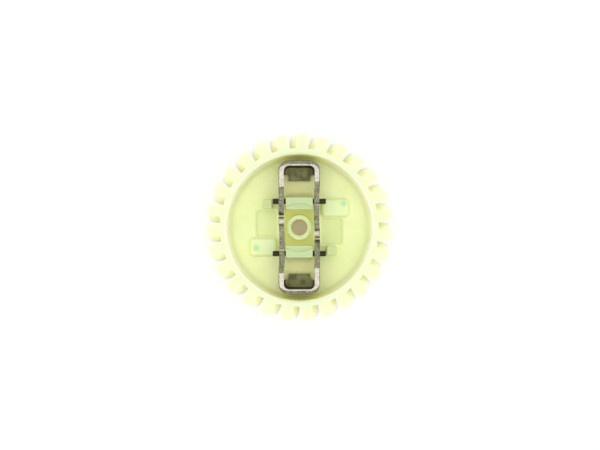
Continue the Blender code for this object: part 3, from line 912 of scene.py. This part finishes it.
normal = add(tree, "ShaderNodeNewGeometry", output="Normal")
normal_z = add(tree, "ShaderNodeSeparateXYZ", {"Vector": normal}, "Z")
tilt = add(tree, "ShaderNodeMath", {0: normal_z}, operation="ABSOLUTE")
limits = {"From Min": UPRIGHT[0], "From Max": UPRIGHT[1]}
masks["upright"] = add(tree, "ShaderNodeMapRange", {"Value": tilt, **limits}, **SMOOTH)
masks["mark"] = 0.0
limits = {key: blur * MARK_RADIUS * MM for key, blur in zip(("From Min", "From Max"), MARK_BLUR)}
for centre in MARK_CENTRES:
    middle = Vector((*centre, PAD_TOP)) * MM
    away = add(tree, "ShaderNodeVectorMath", {0: place, 1: middle}, "Value", operation="DISTANCE")
    close = add(tree, "ShaderNodeMapRange", {"Value": away, **limits}, **SMOOTH)
    masks["mark"] = add(tree, "ShaderNodeMath", {0: masks["mark"], 1: close}, operation="MAXIMUM")
print("ejector marks:", len(MARK_CENTRES))

# %% Put the bands together
meeting = {
    "flank_painted_light": ("rim", "upright"),
    "root_painted_shade": ("flank_painted_light", "below_tips"),
    "behind_ends": ("corner", "near_ends"),
    "inside": ("middle", "before_slope"),
    "raised": ("inside", "above_pads"),
    "pad": ("inside", "above_floor"),
    "panel": ("inside", "below_floor"),
    "high_up": ("inside", "above_hub"),
    "slope": ("tower_width", "past_post"),
    "tower": ("tower_width", "before_slope"),
    "post": ("high_up", "tower"),
    "post_gap": ("tower", "between_posts"),
    "thick_and_shaded_foot": ("post_gap", "below_posts"),
}
for name, (first, second) in meeting.items():
    masks[name] = add(tree, "ShaderNodeMath", {0: masks[first], 1: masks[second]}, operation="MULTIPLY")
masks["stop"] = add(tree, "ShaderNodeMath", {0: masks["high_up"], 1: masks["post"]}, operation="SUBTRACT")
# The corner behind the flyweight ends and the outer slopes of the posts, which get painted light.
either = {0: masks["slope"], 1: masks["behind_ends"]}
masks["painted_light_in_shade"] = add(tree, "ShaderNodeMath", either, operation="MAXIMUM")
print(len(masks), "masks in all")

# %% Lay the colours over each other
NYLON_FLOOR = "#f2febf"
NYLON_COLOURS = {
    # Painted light: the foot and the wall of the cup, which lie in shade, get paler colours.
    "corner": "#fcffc8",
    "wall": "#fcffe4",
    # Painted light: a pale yellow lifts the shade in the corner behind the flyweight ends and on the outer
    # slopes of the posts.
    "painted_light_in_shade": "#ffffb8",
    "pad": "#eafabf",
    # Painted shade: the sunk panels beside the arms are darker and yellower.
    "panel": "#ebf3b3",
    "rim": "#e3f4c5",
    # Painted light: upright faces of the teeth are paler than their tops, and their roots get a deeper yellow
    # as painted shade.
    "flank_painted_light": "#f9ffd6",
    "root_painted_shade": "#ffffcb",
    "raised": "#dcebb4",
    "post": "#bfd19c",
    "stop": "#c4cf92",
    # Painted shade, over the deeper tone of thick nylon: the foot between the posts is deep yellow.
    "thick_and_shaded_foot": "#eeee92",
    # Painted shade: the wall of the bore is painted deep yellow.
    "bore": "#efe37c",
    "mark": "#c2ecb4",
}

base = colour(NYLON_FLOOR)
for name, hex_value in NYLON_COLOURS.items():
    layer = {0: masks[name], 6: base, 7: colour(hex_value)}
    base = add(tree, "ShaderNodeMix", layer, 2, data_type="RGBA")
print("nylon colours:", 1 + len(NYLON_COLOURS))

# %% Add the clouds, the mould's texture and the depth of the glow
CLOUD_SIZE = 9.0
CLOUD_SHARE = 0.15
MOULD_TEXTURE_SIZE = 0.35
NYLON_ROUGHNESS = (0.36, 0.46)
NYLON_IOR = 1.53
TEXTURE_STRENGTH = 0.12
TEXTURE_DEPTH = 0.05
GLOW_SHARE = 0.85
GLOW_BY_COLOUR = (1.0, 1.0, 0.45)
GLOW_REACH = (1.2, 7.0)

clouds = add(
    tree, "ShaderNodeTexNoise", {"Vector": place, "Scale": scale_for(CLOUD_SIZE), "Detail": 3.0}, "Fac"
)
limits = {"From Min": 0.4, "From Max": 0.8, "To Max": CLOUD_SHARE}
cloudy = add(tree, "ShaderNodeMapRange", {"Value": clouds, **limits}, **SMOOTH)
layer = {0: cloudy, 6: base, 7: colour(NYLON_COLOURS["post"])}
base = add(tree, "ShaderNodeMix", layer, 2, data_type="RGBA")
grains = {"Vector": place, "Scale": scale_for(MOULD_TEXTURE_SIZE), "Detail": 2.0}
texture = add(tree, "ShaderNodeTexNoise", grains, "Fac")
relief = {"Height": texture, "Strength": TEXTURE_STRENGTH, "Distance": TEXTURE_DEPTH * MM}
bump = add(tree, "ShaderNodeBump", relief)
limits = {**NOISE_SPREAD, "To Min": NYLON_ROUGHNESS[0], "To Max": NYLON_ROUGHNESS[1]}
roughness = add(tree, "ShaderNodeMapRange", {"Value": clouds, **limits}, **SMOOTH)
limits = {"From Min": (wall_foot - FLOOR_ROUND) * MM, "From Max": mouth_radius * MM}
limits |= {"To Min": GLOW_REACH[0] * MM, "To Max": GLOW_REACH[1] * MM}
depth = add(tree, "ShaderNodeMapRange", {"Value": radius, **limits}, **SMOOTH)
tree.links.new(base, shader.inputs["Base Color"])
tree.links.new(bump, shader.inputs["Normal"])
tree.links.new(roughness, shader.inputs["Roughness"])
tree.links.new(depth, shader.inputs["Subsurface Scale"])
shader.inputs["IOR"].default_value = NYLON_IOR
shader.inputs["Subsurface Weight"].default_value = GLOW_SHARE
shader.inputs["Subsurface Radius"].default_value = GLOW_BY_COLOUR
coat(nylon, gear)
print("light reaches", GLOW_REACH, "mm into the floor and the rim")

# %% [markdown]
# ## Stamped steel
# The flyweights are cold-rolled sheet. Its rolled faces carry a thin olive oil film over fine parallel lines,
# and the press leaves bare sheared edges. Over this the finish paints light and shade. Edges that lie level and
# the crests of the toes are painted as bright bare steel, a painted highlight. The slopes, the rounded end and
# the walls are painted less bright, as painted shade. The plate is painted all in the film colour, whose dark
# olive is partly oil film and partly painted shade and a painted reflection of the camera above.
# The mesh says how bright each face is painted, and the finish follows it. The metal keeps the default IOR, and
# the roughness changes along the lines. Real rolling lines and scratches are too fine to show: the lines are
# drawn coarser than they are, and the grains of wear about as wide as one pixel of the picture.

# %% Mark how much bright steel each face of a flyweight is painted with, for wear and for light
LEVEL = 0.993
CREST = 0.85
SIDEWAYS = 0.95
WALL_TILT = 0.9
ROUND_TILT = 0.1
# These shares of bright steel are partly real bare sheared edges and partly painted light: a painted highlight
# on level faces, and painted shade on slopes, the rounded end and the walls.
END_SHINE_AND_WEAR = 0.68
ROUND_SHINE_AND_WEAR = 0.42
SLOPE_SHINE_AND_WEAR = 0.32
WALL_PAINTED_SHINE = 0.26


def shine_and_wear_of(face):
    """1 on a level edge or a toe's crest as a painted highlight, less round the end and on slopes and walls as
    painted shade, 0 on the plate.
    """
    x, y, z = face.center / MM
    side, along, up = abs(x), abs(y) - PIVOT_Y, face.normal.z
    before_end = along < WEIGHT_LENGTH - WEIGHT_CORNER
    on_plate_edge = side < ARM_INSIDE and z < WEIGHT_BOTTOM + SHEET and along < plate_edge
    on_arm_edge = side > ARM_INSIDE and abs(face.normal.x) < SIDEWAYS and before_end
    on_toe = up > CREST and z > PIVOT_HEIGHT + FINGER_RISE and along < -LUG_RADIUS
    on_shoulder = up > LEVEL and z > WEIGHT_TOP - SHEET / 4
    in_valley = up > LEVEL and z > PIVOT_HEIGHT and -LUG_RADIUS < along < 0
    at_end = along > WEIGHT_LENGTH - WEIGHT_CORNER / 2
    on_wall = up < WALL_TILT and z > WEIGHT_BOTTOM + SHEET + BEND_INSIDE
    on_round = up > ROUND_TILT and z > WEIGHT_TOP - END_EDGE_ROUND and along > 0
    if on_shoulder or in_valley or on_toe:
        return END_SHINE_AND_WEAR if at_end else 1
    if on_plate_edge or on_arm_edge:
        return SLOPE_SHINE_AND_WEAR
    if on_round:
        return ROUND_SHINE_AND_WEAR
    return WALL_PAINTED_SHINE if on_wall else 0


for piece in (flyweight, flyweight_opposite):
    shine_and_wear = piece.data.attributes.new("shine_and_wear", "FLOAT", "FACE")
    for face, value in zip(piece.data.polygons, shine_and_wear.data):
        value.value = shine_and_wear_of(face)
print("bare faces:", sum(value.value == 1 for value in shine_and_wear.data), "of", len(shine_and_wear.data))

# %% Draw the rolling lines, the stains and the wear
ROLLING_LINE = 0.12
ROLLING_STRETCH = 0.06
STAIN_SIZE = 2.2
SPECK_SIZE = 0.4
WEAR = (-0.45, 0.08)

steel, tree, shader, place = new_material("stamped_sheet_steel")
drawn = add(tree, "ShaderNodeMapping", {"Vector": place, "Scale": (1.0, ROLLING_STRETCH, 1.0)})
grains = {"Vector": drawn, "Scale": scale_for(ROLLING_LINE), "Detail": 2.0}
lines = add(tree, "ShaderNodeTexNoise", grains, "Fac")
grains = {"Vector": place, "Scale": scale_for(STAIN_SIZE), "Detail": 4.0}
stains = add(tree, "ShaderNodeTexNoise", grains, "Fac")
grains = {"Vector": place, "Scale": scale_for(SPECK_SIZE), "Detail": 1.0}
specks = add(tree, "ShaderNodeTexNoise", grains, "Fac")
limits = {"From Min": 0.4, "From Max": 0.65}
stained = add(tree, "ShaderNodeMapRange", {"Value": stains, **limits}, **SMOOTH)
limits = {"From Min": 0.35, "From Max": 0.65, "To Min": WEAR[0], "To Max": WEAR[1]}
worn = add(tree, "ShaderNodeMapRange", {"Value": specks, **limits}, **SMOOTH)
shine_and_wear = add(tree, "ShaderNodeAttribute", output="Fac", attribute_name="shine_and_wear")
limits = {"From Min": WALL_PAINTED_SHINE, "From Max": SLOPE_SHINE_AND_WEAR}
on_edge = add(tree, "ShaderNodeMapRange", {"Value": shine_and_wear, **limits}, **SMOOTH)
shown = add(
    tree, "ShaderNodeMath", {0: worn, 1: on_edge, 2: shine_and_wear}, operation="MULTIPLY_ADD", use_clamp=True
)
print("grains of wear:", SPECK_SIZE, "mm across")

# %% Make the stamped steel
# The bright colour is bare steel and also the painted highlight. The olive film colour is oil film and also
# painted shade and a painted reflection of the camera above.
BARE_STEEL_AND_SHINE = colour("#d3cbc0")
OIL_FILM_AND_SHADE = colour("#6f6f4b")
OIL_STAIN = colour("#55563a")
STEEL_ROUGHNESS = (0.36, 0.52)
ROLLING_STRENGTH = 0.15
ROLLING_DEPTH = 0.03

film_and_shade = add(tree, "ShaderNodeMix", {0: stained, 6: OIL_FILM_AND_SHADE, 7: OIL_STAIN}, 2, data_type="RGBA")
finish = add(tree, "ShaderNodeMix", {0: shown, 6: film_and_shade, 7: BARE_STEEL_AND_SHINE}, 2, data_type="RGBA")
limits = {**NOISE_SPREAD, "To Min": STEEL_ROUGHNESS[0], "To Max": STEEL_ROUGHNESS[1]}
roughness = add(tree, "ShaderNodeMapRange", {"Value": lines, **limits}, **SMOOTH)
relief = {"Height": lines, "Strength": ROLLING_STRENGTH, "Distance": ROLLING_DEPTH * MM}
bump = add(tree, "ShaderNodeBump", relief)
tree.links.new(finish, shader.inputs["Base Color"])
tree.links.new(roughness, shader.inputs["Roughness"])
tree.links.new(bump, shader.inputs["Normal"])
shader.inputs["Metallic"].default_value = 1.0
coat(steel, flyweight, flyweight_opposite)
print("steel roughness:", STEEL_ROUGHNESS)

# %% [markdown]
# ## Black oxide
# The pins are hardened and blackened, so they are nearly black with a brown cast, and the drawn bar still
# shows faint lines along its length. They too are drawn coarser than they are.

# %% Make the black oxide
OXIDE = colour("#36342a")
OXIDE_WORN = colour("#5f5a48")
OXIDE_ROUGHNESS = (0.35, 0.5)
DRAWN_LINE = 0.1
DRAWN_STRETCH = 0.05

oxide, tree, shader, place = new_material("black_oxide_steel")
drawn = add(tree, "ShaderNodeMapping", {"Vector": place, "Scale": (DRAWN_STRETCH, 1.0, 1.0)})
grains = {"Vector": drawn, "Scale": scale_for(DRAWN_LINE), "Detail": 2.0}
lines = add(tree, "ShaderNodeTexNoise", grains, "Fac")
limits = {"From Min": 0.5, "From Max": 0.8}
worn = add(tree, "ShaderNodeMapRange", {"Value": lines, **limits}, **SMOOTH)
finish = add(tree, "ShaderNodeMix", {0: worn, 6: OXIDE, 7: OXIDE_WORN}, 2, data_type="RGBA")
limits = {**NOISE_SPREAD, "To Min": OXIDE_ROUGHNESS[0], "To Max": OXIDE_ROUGHNESS[1]}
roughness = add(tree, "ShaderNodeMapRange", {"Value": lines, **limits}, **SMOOTH)
tree.links.new(finish, shader.inputs["Base Color"])
tree.links.new(roughness, shader.inputs["Roughness"])
shader.inputs["Metallic"].default_value = 1.0
coat(oxide, pin, pin_opposite)
print("drawn lines are", DRAWN_LINE, "mm apart")

# %% [markdown]
# ## Paper and light
# The part lies on white paper under a camera that looks straight down, in a room with pale walls. The light
# is strong near the horizon, where it reaches the flanks of the teeth and the wall of the cup, and in a wide
# cone overhead, where it reaches the bottom of narrow gaps and makes a level steel edge brighter than a
# sloping one. It is weaker in between. A weak soft lamp on each side gives the sides some form. The camera
# also sees some plain white in the paper, which keeps its shadows faint.

# %% Lay the paper
PAPER_SIZE = 30000
PAPER_GAP = 0.02
PAPER_COLOUR = colour("#fbfbf8")
PAPER_WHITE = 0.45
PAPER_ROUGHNESS = 0.9
PAPER_SHEEN = 0.1
PART_RADIUS = 30
PART_BLUR = 2

bpy.ops.object.select_all(action="DESELECT")
bpy.ops.mesh.primitive_plane_add(size=PAPER_SIZE * MM, location=(0, 0, -PAPER_GAP * MM))
paper = bpy.context.object
paper.name = "paper"
bpy.ops.object.transform_apply(location=True, rotation=False, scale=False)
sheet, tree, shader, place = new_material("white_paper")
shader.inputs["Base Color"].default_value = PAPER_COLOUR
shader.inputs["Roughness"].default_value = PAPER_ROUGHNESS
shader.inputs["Specular IOR Level"].default_value = PAPER_SHEEN
seen = 0.0
for ray in ("Is Camera Ray", "Is Glossy Ray", "Is Transmission Ray"):
    path = add(tree, "ShaderNodeLightPath", output=ray)
    seen = add(tree, "ShaderNodeMath", {0: seen, 1: path}, operation="MAXIMUM")
distance = add(tree, "ShaderNodeVectorMath", {0: place}, "Value", operation="LENGTH")
limits = {"From Min": (PART_RADIUS - PART_BLUR) * MM, "From Max": PART_RADIUS * MM, "To Max": PAPER_WHITE}
open_paper = add(tree, "ShaderNodeMapRange", {"Value": distance, **limits}, **SMOOTH)
share = add(tree, "ShaderNodeMath", {0: seen, 1: open_paper}, operation="MULTIPLY")
white = add(tree, "ShaderNodeEmission")
mixed = add(tree, "ShaderNodeMixShader", {0: share, 1: shader.outputs[0], 2: white})
tree.links.new(mixed, tree.nodes["Material Output"].inputs["Surface"])
coat(sheet, paper)
print("paper:", PAPER_SIZE, "mm wide")

# %% Set the plain surroundings
HORIZON = 1.35
HORIZON_HEIGHTS = (0.25, 0.65)
WALLS = 0.57
OVERHEAD = 1.45
OVERHEAD_ANGLES = (44, 22)

world = bpy.data.worlds.new("pale_studio")
bpy.context.scene.world = world
world.use_nodes = True
tree = world.node_tree
background = tree.nodes["Background"]
direction = add(tree, "ShaderNodeTexCoord", output="Generated")
upward = add(tree, "ShaderNodeSeparateXYZ", {"Vector": direction}, "Z")
limits = {"From Min": HORIZON_HEIGHTS[0], "From Max": HORIZON_HEIGHTS[1], "To Min": HORIZON, "To Max": WALLS}
low_part = add(tree, "ShaderNodeMapRange", {"Value": upward, **limits}, **SMOOTH)
edge_height, full_height = (math.cos(math.radians(angle)) for angle in OVERHEAD_ANGLES)
limits = {"From Min": edge_height, "From Max": full_height, "To Max": OVERHEAD - WALLS}
high_part = add(tree, "ShaderNodeMapRange", {"Value": upward, **limits}, **SMOOTH)
strength = add(tree, "ShaderNodeMath", {0: low_part, 1: high_part}, operation="ADD")
tree.links.new(strength, background.inputs["Strength"])
background.inputs["Color"].default_value = colour("#ffffff")
print("light at the horizon:", HORIZON, "and overhead:", OVERHEAD)

# %% Add a soft lamp on each side
LAMP_POWERS = {"left_lamp": 0.9, "right_lamp": 1.1}
LAMP_SIZE = 900
LAMP_DISTANCE = 900
LAMP_TILT = 36

for name, power in LAMP_POWERS.items():
    tilt = math.radians(-LAMP_TILT if name == "left_lamp" else LAMP_TILT)
    lamp_data = bpy.data.lights.new(name, "AREA")
    lamp_data.energy = power
    lamp_data.shape = "DISK"
    lamp_data.size = LAMP_SIZE * MM
    lamp = bpy.data.objects.new(name, lamp_data)
    lamp.rotation_euler = (0, tilt, 0)
    lamp.location = Vector((math.sin(tilt), 0, math.cos(tilt))) * LAMP_DISTANCE * MM
    bpy.context.scene.collection.objects.link(lamp)
print("soft lamps:", LAMP_SIZE, "mm across")

# %% [markdown]
# ## Put each piece on its body
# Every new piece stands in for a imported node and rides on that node's body, so it moves with the joints. Each
# one also names the slot in the record that its finish belongs to.

# %% Attach the pieces
pieces = [
    (gear, "gear", "gear", "nylon"),
    (pin, "pivot_pin_upper", "gear", "black_steel"),
    (pin_opposite, "pivot_pin_lower", "gear", "black_steel"),
    (flyweight, "flyweight_upper", "flyweight_upper", "stamped_steel"),
    (flyweight_opposite, "flyweight_lower", "flyweight_lower", "stamped_steel"),
]
for piece, node_name, body, slot in pieces:
    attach(piece, body)
    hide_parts(node_name)
    print(piece.name, "stands for", node_name, "and rides on", body)

# %% Finish
print("finished")
